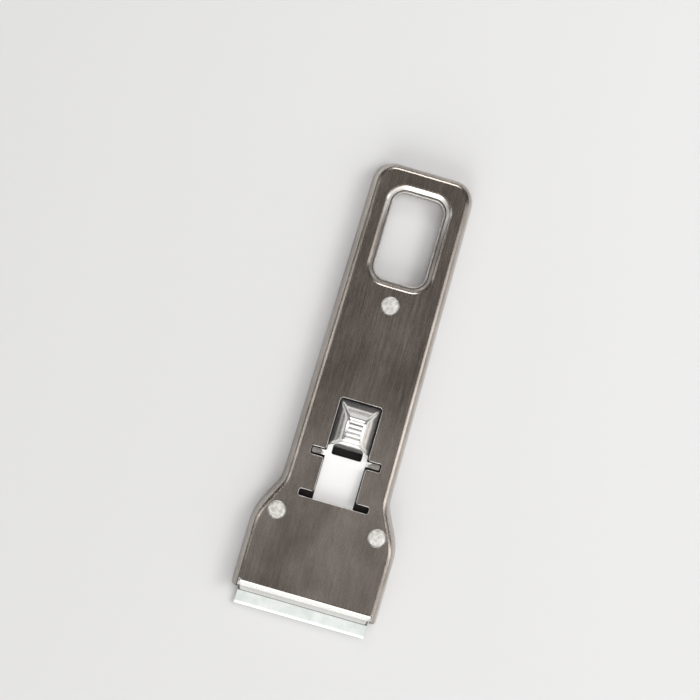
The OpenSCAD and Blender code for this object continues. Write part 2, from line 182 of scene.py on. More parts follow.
def mapped(nodes, links, scale):
    where = nodes.new("ShaderNodeTexCoord")
    mapping = nodes.new("ShaderNodeMapping")
    mapping.inputs["Scale"].default_value = scale
    links.new(where.outputs["Object"], mapping.inputs["Vector"])
    return mapping.outputs["Vector"]


def noise(nodes, links, look):
    tex = nodes.new("ShaderNodeTexNoise")
    tex.inputs["Scale"].default_value = 1
    tex.inputs["Detail"].default_value = look["detail"]
    tex.inputs["Roughness"].default_value = look["roughness"]
    links.new(mapped(nodes, links, look["scale"]), tex.inputs["Vector"])
    return tex.outputs["Fac"]


def mathNode(nodes, links, operation, a, b):
    node = nodes.new("ShaderNodeMath")
    node.operation = operation
    for socket, value in zip(node.inputs, (a, b)):
        if isinstance(value, (int, float)):
            socket.default_value = value
        else:
            links.new(value, socket)
    return node.outputs[0]


def rangeNode(nodes, links, value, low, high, toLow, toHigh):
    node = nodes.new("ShaderNodeMapRange")
    for label, number in zip(("From Min", "From Max", "To Min", "To Max"), (low, high, toLow, toHigh)):
        node.inputs[label].default_value = number
    links.new(value, node.inputs["Value"])
    return node.outputs["Result"]


def buildBrushing():
    group, inlet, outlet = newGroup(
        "lengthwise brushing", [("Depth", "NodeSocketFloat", 0.2)],
        [("Streaks", "NodeSocketFloat"), ("Clouds", "NodeSocketFloat"), ("Normal", "NodeSocketVector")])
    nodes, links = group.nodes, group.links
    parts = [
        mathNode(nodes, links, "MULTIPLY", noise(nodes, links, look), look["share"])
        for look in (brushingLook["fine"], brushingLook["broad"])]
    streaks = mathNode(nodes, links, "ADD", *parts)
    clouds = noise(nodes, links, brushingLook["clouds"])
    bump = nodes.new("ShaderNodeBump")
    bump.inputs["Distance"].default_value = brushingLook["bumpHeight"]
    links.new(inlet.outputs["Depth"], bump.inputs["Strength"])
    links.new(streaks, bump.inputs["Height"])
    links.new(streaks, outlet.inputs["Streaks"])
    links.new(clouds, outlet.inputs["Clouds"])
    links.new(bump.outputs["Normal"], outlet.inputs["Normal"])
    return group


def buildMottle():
    group, inlet, outlet = newGroup(
        "tumbled mottle", [("Size", "NodeSocketFloat", 900.0), ("Depth", "NodeSocketFloat", 0.2)],
        [("Mottle", "NodeSocketFloat"), ("Normal", "NodeSocketVector")])
    nodes, links = group.nodes, group.links
    tex = nodes.new("ShaderNodeTexNoise")
    tex.inputs["Detail"].default_value = mottleLook["detail"]
    links.new(mapped(nodes, links, (1, 1, 1)), tex.inputs["Vector"])
    links.new(inlet.outputs["Size"], tex.inputs["Scale"])
    bump = nodes.new("ShaderNodeBump")
    bump.inputs["Distance"].default_value = mottleLook["bumpHeight"]
    links.new(inlet.outputs["Depth"], bump.inputs["Strength"])
    links.new(tex.outputs["Fac"], bump.inputs["Height"])
    links.new(tex.outputs["Fac"], outlet.inputs["Mottle"])
    links.new(bump.outputs["Normal"], outlet.inputs["Normal"])
    return group


def buildPlace():
    group, inlet, outlet = newGroup(
        "place along one axis",
        [("Axis", "NodeSocketVector", (0, 1, 0)), ("From", "NodeSocketFloat", 0.0),
         ("To", "NodeSocketFloat", 1.0)],
        [("Mask", "NodeSocketFloat")])
    nodes, links = group.nodes, group.links
    along = nodes.new("ShaderNodeVectorMath")
    along.operation = "DOT_PRODUCT"
    links.new(mapped(nodes, links, (1, 1, 1)), along.inputs[0])
    links.new(inlet.outputs["Axis"], along.inputs[1])
    step = nodes.new("ShaderNodeMapRange")
    step.interpolation_type = "SMOOTHSTEP"
    links.new(along.outputs["Value"], step.inputs["Value"])
    links.new(inlet.outputs["From"], step.inputs["From Min"])
    links.new(inlet.outputs["To"], step.inputs["From Max"])
    links.new(step.outputs["Result"], outlet.inputs["Mask"])
    return group


brushing = buildBrushing()
mottle = buildMottle()
axisRamp = buildPlace()


def placeMask(nodes, axis, start, end):
    mask = nodes.new("ShaderNodeGroup")
    mask.node_tree = axisRamp
    mask.inputs["Axis"].default_value = axis
    mask.inputs["From"].default_value = start
    mask.inputs["To"].default_value = end
    return mask.outputs["Mask"]


def colourMix(nodes, links, fac, dark, light):
    mix = nodes.new("ShaderNodeMix")
    mix.data_type = "RGBA"
    for socket, colour in ((mix.inputs[6], dark), (mix.inputs[7], light)):
        if isinstance(colour, tuple):
            socket.default_value = (*colour, 1)
        else:
            links.new(colour, socket)
    links.new(fac, mix.inputs["Factor"])
    return mix.outputs[2]


def newMetal(name, metallic):
    material = bpy.data.materials.new(name)
    material.use_nodes = True
    nodes, links = material.node_tree.nodes, material.node_tree.links
    shader = nodes["Principled BSDF"]
    shader.inputs["Metallic"].default_value = metallic
    return material, nodes, links, shader


# a zone is where all of its masks overlap, and only one zone of a material changes the metallic
def colourWithin(nodes, links, shader, colour, zones):
    metallic = None
    for zone in zones:
        inside = placeMask(nodes, *zone["within"][0])
        for other in zone["within"][1:]:
            inside = mathNode(nodes, links, "MULTIPLY", inside, placeMask(nodes, *other))
        colour = colourMix(nodes, links, inside, colour, zone["colour"])
        if "metallic" in zone:
            metallic = rangeNode(
                nodes, links, inside, 0, 1, shader.inputs["Metallic"].default_value, zone["metallic"])
    if metallic:
        links.new(metallic, shader.inputs["Metallic"])
    links.new(colour, shader.inputs["Base Color"])


def brushedMetal(name, dark, light, rough, depth, metallic=1, zones=()):
    material, nodes, links, shader = newMetal(name, metallic)
    grain = nodes.new("ShaderNodeGroup")
    grain.node_tree = brushing
    grain.inputs["Depth"].default_value = depth
    streaks, clouds = grain.outputs["Streaks"], grain.outputs["Clouds"]
    halves = [mathNode(nodes, links, "MULTIPLY", part, 0.5) for part in (streaks, clouds)]
    tone = rangeNode(nodes, links, mathNode(nodes, links, "ADD", *halves), *brushingLook["toneRange"], 0, 1)
    colourWithin(nodes, links, shader, colourMix(nodes, links, tone, dark, light), zones)
    roughness = rangeNode(nodes, links, streaks, *brushingLook["roughRange"], *rough)
    links.new(roughness, shader.inputs["Roughness"])
    links.new(grain.outputs["Normal"], shader.inputs["Normal"])
    return material


def mottledMetal(name, dark, light, rough, size, depth, metallic=1, zones=()):
    material, nodes, links, shader = newMetal(name, metallic)
    spots = nodes.new("ShaderNodeGroup")
    spots.node_tree = mottle
    spots.inputs["Size"].default_value = size
    spots.inputs["Depth"].default_value = depth
    value = spots.outputs["Mottle"]
    tone = rangeNode(nodes, links, value, *mottleLook["toneRange"], 0, 1)
    colourWithin(nodes, links, shader, colourMix(nodes, links, tone, dark, light), zones)
    roughness = rangeNode(nodes, links, value, *mottleLook["roughRange"], *rough)
    links.new(roughness, shader.inputs["Roughness"])
    links.new(spots.outputs["Normal"], shader.inputs["Normal"])
    return material


# Finishes, and zones of painted highlight and painted shade. A mask is an axis, then where along it, in
# metres, the mask starts and is full.
# painted highlight: the bent-down nose is whitened and made less metallic to stand for the light it reflects
nose = {
    "within": [((0, -1, 0), 0.0617, 0.0625), ((1, 0, 0), -0.0204, -0.0202), ((-1, 0, 0), -0.0204, -0.0202)],
    "colour": (0.9, 0.89, 0.86), "metallic": 0.4,
}
rimHighlight = {  # painted highlight along the top of the hang hole's dished rim
    "within": [((0, 0, -1), -0.00658, -0.0063), ((0, 1, 0), 0.049, 0.059), ((0, -1, 0), -0.0655, -0.065),
               ((1, 0, 0), -0.0118, -0.0108), ((-1, 0, 0), -0.0118, -0.0108)],
    "colour": (0.86, 0.83, 0.79),
}
# painted shade: the cut edges at the mouth are darkened
mouthEdgeShade = {"within": [((0, -1, 0), 0.0634, 0.0637)], "colour": (0.12, 0.11, 0.1)}
# painted shade: the back plate's inner faces towards the front of the body are darkened
insideBodyShade = {
    "within": [((0, -1, 0), -0.03, -0.028), ((0, 0, 1), 0.0003, 0.0005)], "colour": (0.08, 0.075, 0.07),
}
# painted highlight on the middle of the spring strip; the ears keep the strip's darker steel as painted
# shade
leafMiddleHighlight = {
    "within": [((1, 0, 0), -0.0072, -0.0066), ((-1, 0, 0), -0.0072, -0.0066)],
    "colour": (0.97, 0.97, 0.96), "metallic": 0.1,
}
# painted highlight: the tops of the button's ribs are whitened
ribTopHighlight = {"within": [((0, 0, 1), 0.00985, 0.01)], "colour": (0.97, 0.97, 0.96), "metallic": 0.2}
# painted shade: the blade is darkened from just before the carrier's edge back into the body
bladeShadeByMouth = {"within": [((0, 1, 0), -0.06565, -0.06535)], "colour": (0.16, 0.16, 0.15)}
shellSteel = brushedMetal(
    "brushed shell steel", dark=(0.27, 0.238, 0.21), light=(0.6, 0.545, 0.495), rough=(0.2, 0.32),
    depth=0.06, zones=[nose, rimHighlight])
# painted highlight: the sheets' cut edges and bevels get a light colour, darkened at the mouth as painted
# shade
edgeSteel = mottledMetal(
    "sheared edge with painted highlight", dark=(0.8, 0.78, 0.75), light=(0.95, 0.94, 0.92), rough=(0.3, 0.4),
    size=900, depth=0.1, metallic=0.9, zones=[mouthEdgeShade])
backSteel = brushedMetal(
    "back plate steel", dark=(0.3, 0.27, 0.24), light=(0.5, 0.46, 0.42), rough=(0.3, 0.45),
    depth=0.3, zones=[insideBodyShade])
rivetSteel = mottledMetal(
    "tumbled rivet steel", dark=(0.56, 0.54, 0.51), light=(0.93, 0.92, 0.88), rough=(0.4, 0.6),
    size=900, depth=0.3, metallic=0.35)
# the strip's darker steel shows only on the ears, as painted shade; the middle is whitened as a painted
# highlight
leafSteel = brushedMetal(
    "spring strip with painted light and shade", dark=(0.4, 0.38, 0.36), light=(0.62, 0.6, 0.57), rough=(0.14, 0.22),
    depth=0.04, metallic=0.9, zones=[leafMiddleHighlight])
carrierSteel = brushedMetal(
    "blade carrier strip", dark=(0.82, 0.82, 0.8), light=(0.93, 0.93, 0.91), rough=(0.3, 0.45),
    depth=0.1, metallic=0.4)
buttonSteel = mottledMetal(
    "pressed bright button", dark=(0.8, 0.79, 0.77), light=(0.92, 0.91, 0.89), rough=(0.1, 0.2),
    size=500, depth=0.03, metallic=0.8, zones=[ribTopHighlight])
bladeSteel = mottledMetal(
    "ground blade steel", dark=(0.82, 0.89, 0.85), light=(0.95, 0.985, 0.965), rough=(0.3, 0.45),
    size=380, depth=0.1, metallic=0.3, zones=[bladeShadeByMouth])
print("materials ready")


# The stamped front shell: one bent sheet, given its thickness and its punched edges at the end.
shell = {
    "height": 6.6, "sheet": 0.8, "faceHalf": 19.6465, "edgeRadius": 2.0, "wallLean": 9.0,
    "slitEdge": 0.8, "headSide": 19.0, "shoulder": (14.0, 26.0), "slope": 7.461, "neck": (11.0, -25.3),
    "handleSide": 90.271, "end": (4.0, 89.3),
    "noseAngle": 70.0, "noseBend": 1.3, "noseEdge": 2.35, "noseEar": 0.5, "cornerRound": 1.0,
    "holeHalf": (7.8, 13.2), "holeCorner": 3.7, "holeMiddle": 112.2, "rim": 2.7, "rimRadius": 1.8,
    "rimAngle": 42.0, "rimSlope": 1.07, "rivetSeat": 2.58, "rivetLand": 2.74,
    "rivets": ((-15.383, 24.7), (15.383, 24.7), (0, 91.7)),
    "windowFront": 30.7, "windowHalf": 6.45, "windowBack": 62.0, "windowCorner": 1.0,
    "frontNotch": 2.1, "rearNotch": (43.4, 2.6), "notchHalf": 10.75, "notchCorner": 0.6,
    "punchedEdge": 0.14,
    "steps": {"slit": 2, "edge": 6, "wall": 3, "corner": 4, "nose": 7, "rim": 6}, "seatStep": 7.5,
}


def noseSlope():
    angle = math.radians(shell["noseAngle"])
    bend, sheet = shell["noseBend"], shell["sheet"]
    fall = shell["height"] - shell["noseEdge"] - bend * (1 - math.cos(angle)) - sheet * math.cos(angle)
    length = fall / math.sin(angle)
    return length, bend * math.sin(angle) + length * math.cos(angle)


def windowMoves():
    half, corner, notch = shell["windowHalf"], shell["notchCorner"], shell["notchHalf"]
    rearStart, rearLength = shell["rearNotch"]
    side = notch - half - 2 * corner
    between = rearStart - shell["windowFront"] - shell["frontNotch"] - 2 * corner
    after = shell["windowBack"] - rearStart - rearLength - corner - shell["windowCorner"]
    tip = [("turn", corner, 90)]
    bay = [("turn", corner, -90)]
    return (
        [("go", notch - corner)] + tip + [("go", shell["frontNotch"] - 2 * corner)] + tip
        + [("go", side)] + bay + [("go", between)] + bay + [("go", side)] + tip
        + [("go", rearLength - 2 * corner)] + tip + [("go", side)] + bay
        + [("go", after), ("turn", shell["windowCorner"], 90), ("go", half - shell["windowCorner"])])


def buildShell():
    bm = bmesh.new()
    high, half, steps = shell["height"], shell["faceHalf"], shell["steps"]
    slopeLength, noseY = noseSlope()
    # side wall: round the top edge, down the wall, then along the body to the end of the handle
    start = bm.verts.new((half, 0, high))
    centre = (half, 0, high - shell["edgeRadius"])
    slitTurn = math.degrees(math.asin(shell["slitEdge"] / shell["edgeRadius"]))
    wallTurn = 90 - shell["wallLean"]
    geom = swing(bm, [start], centre, (0, 1, 0), slitTurn, steps["slit"])
    geom = swing(bm, geom, centre, (0, 1, 0), wallTurn - slitTurn, steps["edge"])
    lean = math.radians(shell["wallLean"])
    drop = onlyVerts(geom)[0].co.z - shell["sheet"] * math.sin(lean)  # the wall's inner edge ends at 0
    run = drop * math.tan(lean)
    for _ in range(steps["wall"]):
        geom = pull(bm, geom, (run / steps["wall"], 0, -drop / steps["wall"]))
    profile = bm.verts[:] + bm.edges[:]
    last = travel(bm, profile, (half, 0), 90, [("go", noseY)])
    opened = [f for f in bm.faces if f.calc_center_median().x < half + shell["slitEdge"]]
    bmesh.ops.delete(bm, geom=opened, context="FACES_ONLY")
    last = travel(bm, last, (half, noseY), 90, [
        ("go", shell["headSide"] - noseY), ("turn", *shell["shoulder"]), ("go", shell["slope"]),
        ("turn", *shell["neck"]), ("go", shell["handleSide"]), ("turn", *shell["end"])], arcStep["outline"])
    pull(bm, last, (-min(v.co.x for v in onlyVerts(last)), 0, 0))
    bmesh.ops.delete(bm, geom=[e for e in bm.edges if not e.link_faces], context="EDGES")
    # the wall's lower corner at the mouth
    corner = [v for v in bm.verts if v.co.y < touching and v.co.z < shell["sheet"] / 4]
    bmesh.ops.bevel(
        bm, geom=corner, affect="VERTICES", offset=shell["cornerRound"], offset_type="OFFSET",
        segments=steps["corner"], profile=0.5, material=-1)
    # nose: bent down in front, a little wider than the face and slit free of the walls
    angle = math.radians(shell["noseAngle"])
    line, strip = drawApart(bm, (0, noseY, high))
    centre = (0, noseY, high - shell["noseBend"])
    line = swing(bm, line, centre, acrossView, shell["noseAngle"], steps["nose"])
    pull(bm, line, (0, -slopeLength * math.cos(angle), -slopeLength * math.sin(angle)))
    strip = strip()
    for width in (half, shell["noseEar"]):
        strip = pull(bm, strip, (width, 0, 0))
    # dished rim round the hang hole, from its bottom middle to its top middle
    holeX, holeY = shell["holeHalf"]
    turn = ("turn", shell["holeCorner"], 90)
    flankRun, endRun = 2 * (holeY - shell["holeCorner"]), holeX - shell["holeCorner"]
    holeStart = shell["holeMiddle"] - holeY
    rimStart = holeStart - shell["rim"]
    angle = math.radians(shell["rimAngle"])
    line, rim = drawApart(bm, (0, rimStart, high))
    centre = (0, rimStart, high - shell["rimRadius"])
    line = swing(bm, line, centre, acrossView, -shell["rimAngle"], steps["rim"])
    pull(bm, line, (0, shell["rimSlope"] * math.cos(angle), -shell["rimSlope"] * math.sin(angle)))
    travel(bm, rim(), (0, holeStart), 0, [
        ("go", endRun), turn, ("go", flankRun), turn, ("go", endRun)])
    # window, seats of the rivets, and the flat face between them all
    windowStart = (0, shell["windowFront"])
    travel(bm, [bm.verts.new((*windowStart, high))], windowStart, 0, windowMoves(), arcStep["window"])
    (handleX, handleY), (shoulderX, shoulderY) = shell["rivets"][2], shell["rivets"][1]
    seat, land = shell["rivetSeat"], shell["rivetLand"]
    for x, y, angle in ((handleX, handleY, 180), (shoulderX, shoulderY, 360)):
        line, ring = drawApart(bm, (x, y - seat, high))
        pull(bm, line, (0, seat - land, 0))
        swing(bm, ring(), (x, y, high), upView, angle, round(angle / shell["seatStep"]))
    bmesh.ops.remove_doubles(bm, verts=bm.verts[:], dist=weldDistance)

    def onFace(v):
        inSeat = any((v.co.xy - Vector(rivet)).length < (seat + land) / 2 for rivet in shell["rivets"])
        return abs(v.co.z - high) < touching and not inSeat

    middle = [v for v in bm.verts if abs(v.co.x) < touching and onFace(v)]
    middle.sort(key=lambda v: v.co.y)
    for near, far in zip(middle[::2], middle[1::2]):
        bmesh.ops.contextual_create(bm, geom=[near, far])
    rims = [e for e in bm.edges if len(e.link_faces) < 2 and all(onFace(v) for v in e.verts)]
    rims = [e for e in rims if all(v.co.x < half + touching and v.co.y > noseY - touching for v in e.verts)]
    bmesh.ops.triangle_fill(bm, use_beauty=True, use_dissolve=False, edges=rims, normal=(0, 0, 1))
    mirrorAcross(bm)
    facingUp(bm, high)
    finishPiece(
        "stampedShell", bm, shellSteel, "body", ["front_shell"], thickness=shell["sheet"],
        bevel=shell["punchedEdge"], edgeMaterial=edgeSteel)


buildShell()


# The back plate: drawn up round the hang hole and at the three rivets, with a guide rail on each side.
backPlate = {
    "sheet": 0.6, "front": 0.4, "run": 1.717, "collarBend": 0.8, "collarTop": 4.9,
    "collarSteps": 6, "edge": 0.14,
    "boss": (  # radius and height, from its foot inwards
        (3.6, 0), (3.3, 0.07), (3.1, 0.26), (2.98, 0.6), (1.98, 4.6), (1.85, 4.88), (1.6, 5.0), (1.15, 5.0)),
    "bossStep": 8,
}
rail = {"inner": 20.25, "thick": 0.8, "start": 2.0, "end": 19.0, "top": 2.1, "round": 0.2}


def buildBackPlate():
    bm = bmesh.new()
    b, run = backPlate, backPlate["run"]
    wide = shell["faceHalf"] + run
    start = pull(bm, [bm.verts.new((0, b["front"], 0))], (wide, 0, 0))
    shoulderRadius, shoulderTurn = shell["shoulder"]
    neckRadius, neckTurn = shell["neck"]
    endRadius, endTurn = shell["end"]
    last = travel(bm, start, (wide, b["front"]), 90, [
        ("go", shell["headSide"] - b["front"]), ("turn", shoulderRadius + run, shoulderTurn),
        ("go", shell["slope"]), ("turn", neckRadius - run, neckTurn), ("go", shell["handleSide"]),
        ("turn", endRadius + run, endTurn)], arcStep["outline"])
    pull(bm, last, (-onlyVerts(last)[0].co.x, 0, 0))
    # collar round the hang hole
    holeX, holeY = shell["holeHalf"]
    turn = ("turn", shell["holeCorner"], 90)
    holeStart, bend = shell["holeMiddle"] - holeY, b["collarBend"]
    line, collar = drawApart(bm, (0, holeStart - bend, 0))
    line = swing(bm, line, (0, holeStart - bend, bend), acrossView, 90, b["collarSteps"])
    pull(bm, line, (0, 0, b["collarTop"] - bend))
    travel(bm, collar(), (0, holeStart), 0, [
        ("go", holeX - shell["holeCorner"]), turn, ("go", 2 * (holeY - shell["holeCorner"])), turn,
        ("go", holeX - shell["holeCorner"])])
    # bosses, the middle one as a half
    for (x, y), angle in ((shell["rivets"][1], 360), (shell["rivets"][2], 180)):
        points = [Vector((x, y - radius, z)) for radius, z in b["boss"]]
        line, boss = drawApart(bm, points[0])
        for before, after in zip(points, points[1:]):
            line = pull(bm, line, after - before)
        bmesh.ops.spin(
            bm, geom=boss(), cent=(x, y, 0), axis=upView, dvec=(0, 0, 0), angle=math.radians(angle),
            steps=angle // b["bossStep"], use_merge=angle == 360, use_normal_flip=False,
            use_duplicate=False)
    bmesh.ops.remove_doubles(bm, verts=bm.verts[:], dist=weldDistance)
    middle = [v for v in bm.verts if abs(v.co.x) < touching and abs(v.co.z) < touching]
    middle.sort(key=lambda v: v.co.y)
    for near, far in zip(middle[::2], middle[1::2]):
        bmesh.ops.contextual_create(bm, geom=[near, far])
    rims = [e for e in bm.edges if len(e.link_faces) < 2 and all(abs(v.co.z) < touching for v in e.verts)]
    bmesh.ops.triangle_fill(bm, use_beauty=True, use_dissolve=False, edges=rims, normal=(0, 0, 1))
    mirrorAcross(bm)
    facingUp(bm, 0)
    bmesh.ops.reverse_faces(bm, faces=bm.faces[:])
    finishPiece(
        "backPlate", bm, backSteel, "body", ["back_plate"], thickness=b["sheet"],
        bevel=b["edge"], edgeMaterial=edgeSteel)


def addBlock(bm, low, high):
    middle = [(a + b) / 2 for a, b in zip(low, high)]
    block = bmesh.ops.create_cube(bm, size=1)["verts"]
    bmesh.ops.scale(bm, verts=block, vec=[b - a for a, b in zip(low, high)])
    bmesh.ops.translate(bm, verts=block, vec=middle)


def buildRails():
    bm = bmesh.new()
    near, far = rail["inner"], rail["inner"] + rail["thick"]
    for left, right in ((-far, -near), (near, far)):
        addBlock(bm, (left, rail["start"], backPlate["sheet"]), (right, rail["end"], rail["top"]))
    bmesh.ops.bevel(
        bm, geom=bm.edges[:], affect="EDGES", offset=rail["round"], offset_type="OFFSET", segments=3,
        profile=0.5, material=-1, clamp_overlap=True)
    finishPiece("guideRails", bm, backSteel, "body", [])


buildBackPlate()
buildRails()


# Rivets: flush heads with a soft rim, a shank and a closed tail, turned from one profile.
rivet = {
    "headRadius": 2.5, "top": 6.54, "rimRadius": 0.3, "crown": 0.05, "seat": 6.1, "shank": 1.1,
    "bossTop": 5.0, "tailRadius": 1.7, "tail": 4.5, "steps": 64, "rimStops": (0, 22, 45, 68, 90),
    "crownAt": (0.4, 0.2),  # shares of the head's radius and of the crown's fall
}


def turned(bm, points, steps):
    chain = [bm.verts.new(points[0])]
    for before, after in zip(points, points[1:]):
        chain = pull(bm, chain, Vector(after) - Vector(before))
    bmesh.ops.spin(
        bm, geom=bm.verts[:] + bm.edges[:], cent=(0, 0, 0), axis=upView, dvec=(0, 0, 0),
        angle=math.tau, steps=steps, use_merge=True, use_normal_flip=False, use_duplicate=False)
    bmesh.ops.remove_doubles(bm, verts=bm.verts[:], dist=weldDistance)
    bmesh.ops.recalc_face_normals(bm, faces=bm.faces[:])


def buildRivet(name, node, place):
    bm = bmesh.new()
    r = rivet
    edge, soft = r["headRadius"], r["rimRadius"]
    arc = [(edge - soft + soft * math.sin(a), 0, r["top"] - r["crown"] - soft + soft * math.cos(a))
           for a in map(math.radians, r["rimStops"])]
    across, fall = r["crownAt"]
    turned(bm, [
        (0, 0, r["top"]), (edge * across, 0, r["top"] - r["crown"] * fall), *arc, (edge, 0, r["seat"]),
        (r["shank"], 0, r["seat"]), (r["shank"], 0, r["bossTop"]), (r["tailRadius"], 0, r["bossTop"]),
        (r["tailRadius"], 0, r["tail"]), (0, 0, r["tail"])], r["steps"])
    bmesh.ops.translate(bm, verts=bm.verts[:], vec=(*place, 0))
    finishPiece(name, bm, rivetSteel, "body", [node])


buildRivet("shoulderRivetLeft", "left_rivet", shell["rivets"][0])
buildRivet("shoulderRivetRight", "right_rivet", shell["rivets"][1])
buildRivet("handleRivet", "handle_rivet", shell["rivets"][2])


# The spring leaf: a flat blank with ears and a slot, bent up along a ramp.
leaf = {
    "sheet": 0.5, "half": 6.2, "foot": 15.4, "end": 61.1, "footTop": 2.803, "shelfTop": 4.727,
    "rampStart": 20.9, "rampEnd": 43.4, "bend": 1.2, "ear": (44.0, 1.6), "earTip": 10.4, "earRise": 0.973,
    "earFoot": 6.4, "earFillet": 0.2, "corner": 0.4, "slot": (4.6, 44.9, 3.0, 0.6),
    "pins": (3.3, 17.9, 1.1), "pinSteps": 24, "edge": 0.06, "edgeAngle": 55,
}


def leafHeight(y):
    low, high = leaf["footTop"], leaf["shelfTop"]
    share = (y - leaf["rampStart"]) / (leaf["rampEnd"] - leaf["rampStart"])
    rise = high - low
    soft = leaf["bend"] / (leaf["rampEnd"] - leaf["rampStart"])
    if share < -soft:
        return low
    if share < soft:
        return low + rise * (share + soft) ** 2 / (4 * soft)
    if share < 1 - soft:
        return low + rise * share
    if share < 1 + soft:
        return high - rise * (1 + soft - share) ** 2 / (4 * soft)
    return high


def buildLeaf():
    bm = bmesh.new()
    half, corner, fillet = leaf["half"], leaf["corner"], leaf["earFillet"]
    earStart, earLength = leaf["ear"]
    reach = leaf["earTip"] - half - corner - fillet
    out, back = ("turn", corner, 90), ("turn", fillet, -90)
    travel(bm, [bm.verts.new((0, leaf["foot"], 0))], (0, leaf["foot"]), 0, [
        ("go", half - corner), out, ("go", earStart - leaf["foot"] - corner - fillet), back,
        ("go", reach), out, ("go", earLength - 2 * corner), out, ("go", reach), back,
        ("go", leaf["end"] - earStart - earLength - fillet - corner), out, ("go", half - corner)],
        arcStep["leaf"])
    copied = bmesh.ops.duplicate(bm, geom=bm.verts[:] + bm.edges[:])["geom"]
    bmesh.ops.scale(bm, verts=onlyVerts(copied), vec=(-1, 1, 1))
    slotHalf, slotStart, slotLength, slotCorner = leaf["slot"]
    turn = ("turn", slotCorner, 90)
    travel(bm, [bm.verts.new((0, slotStart, 0))], (0, slotStart), 0, [
        ("go", slotHalf - slotCorner), turn, ("go", slotLength - 2 * slotCorner), turn,
        ("go", 2 * (slotHalf - slotCorner)), turn, ("go", slotLength - 2 * slotCorner), turn,
        ("go", slotHalf - slotCorner)], arcStep["leaf"])
    pinX, pinY, pinRadius = leaf["pins"]
    for x in (-pinX, pinX):
        bmesh.ops.create_circle(
            bm, cap_ends=False, radius=pinRadius, segments=leaf["pinSteps"],
            matrix=Matrix.Translation((x, pinY, 0)))
    bmesh.ops.remove_doubles(bm, verts=bm.verts[:], dist=weldDistance)
    bmesh.ops.triangle_fill(bm, use_beauty=True, use_dissolve=False, edges=bm.edges[:], normal=(0, 0, 1))
    bmesh.ops.dissolve_limit(
        bm, angle_limit=0.01, use_dissolve_boundaries=False, verts=[],
        edges=[e for e in bm.edges if len(e.link_faces) == 2], delimit=set())
    # folds: soft ones at both ends of the ramp, sharp ones across the ears
    cuts = [(bendAt + leaf["bend"] * part / 2, (0, 1, 0))
            for bendAt in (leaf["rampStart"], leaf["rampEnd"]) for part in (-2, -1, 0, 1, 2)]
    tipStart = leaf["earFoot"] + leaf["earRise"]
    cuts += [(side * x, (1, 0, 0)) for side in (-1, 1) for x in (leaf["earFoot"], tipStart)]
    for at, normal in cuts:
        bmesh.ops.bisect_plane(
            bm, geom=bm.verts[:] + bm.edges[:] + bm.faces[:], dist=1e-5, plane_co=Vector(normal) * at,
            plane_no=normal, use_snap_center=False, clear_outer=False, clear_inner=False)
    for v in bm.verts:
        raised = min(max((abs(v.co.x) - leaf["earFoot"]) / leaf["earRise"], 0), 1)
        v.co.z = leafHeight(v.co.y) + leaf["earRise"] * raised
    facingUp(bm, leaf["shelfTop"])
    finishPiece(
        "springLeaf", bm, leafSteel, "latch", ["latch_leaf"], thickness=leaf["sheet"],
        bevel=leaf["edge"], bevelAngle=leaf["edgeAngle"])


buildLeaf()


# The thumb button: a pressed cap with soft edges and ribs, clinched through the leaf by two tabs.
button = {
    "front": 47.3, "back": 61.5, "half": 6.2, "base": 4.727, "lip": 0.35, "padFront": 2.6, "padLength": 6.7,
    "padHalf": 2.75, "top": 9.8, "sheet": 0.5, "soft": 0.9, "softSteps": 5,
    "ribs": 5, "ribRadius": 0.398, "ribHalf": 1.95, "ribSteps": 20,
    "tabHalf": 3.0, "tabSheet": 0.4, "tabFoot": 2.0, "tabLow": 3.827, "tabOverlap": 0.05,
}


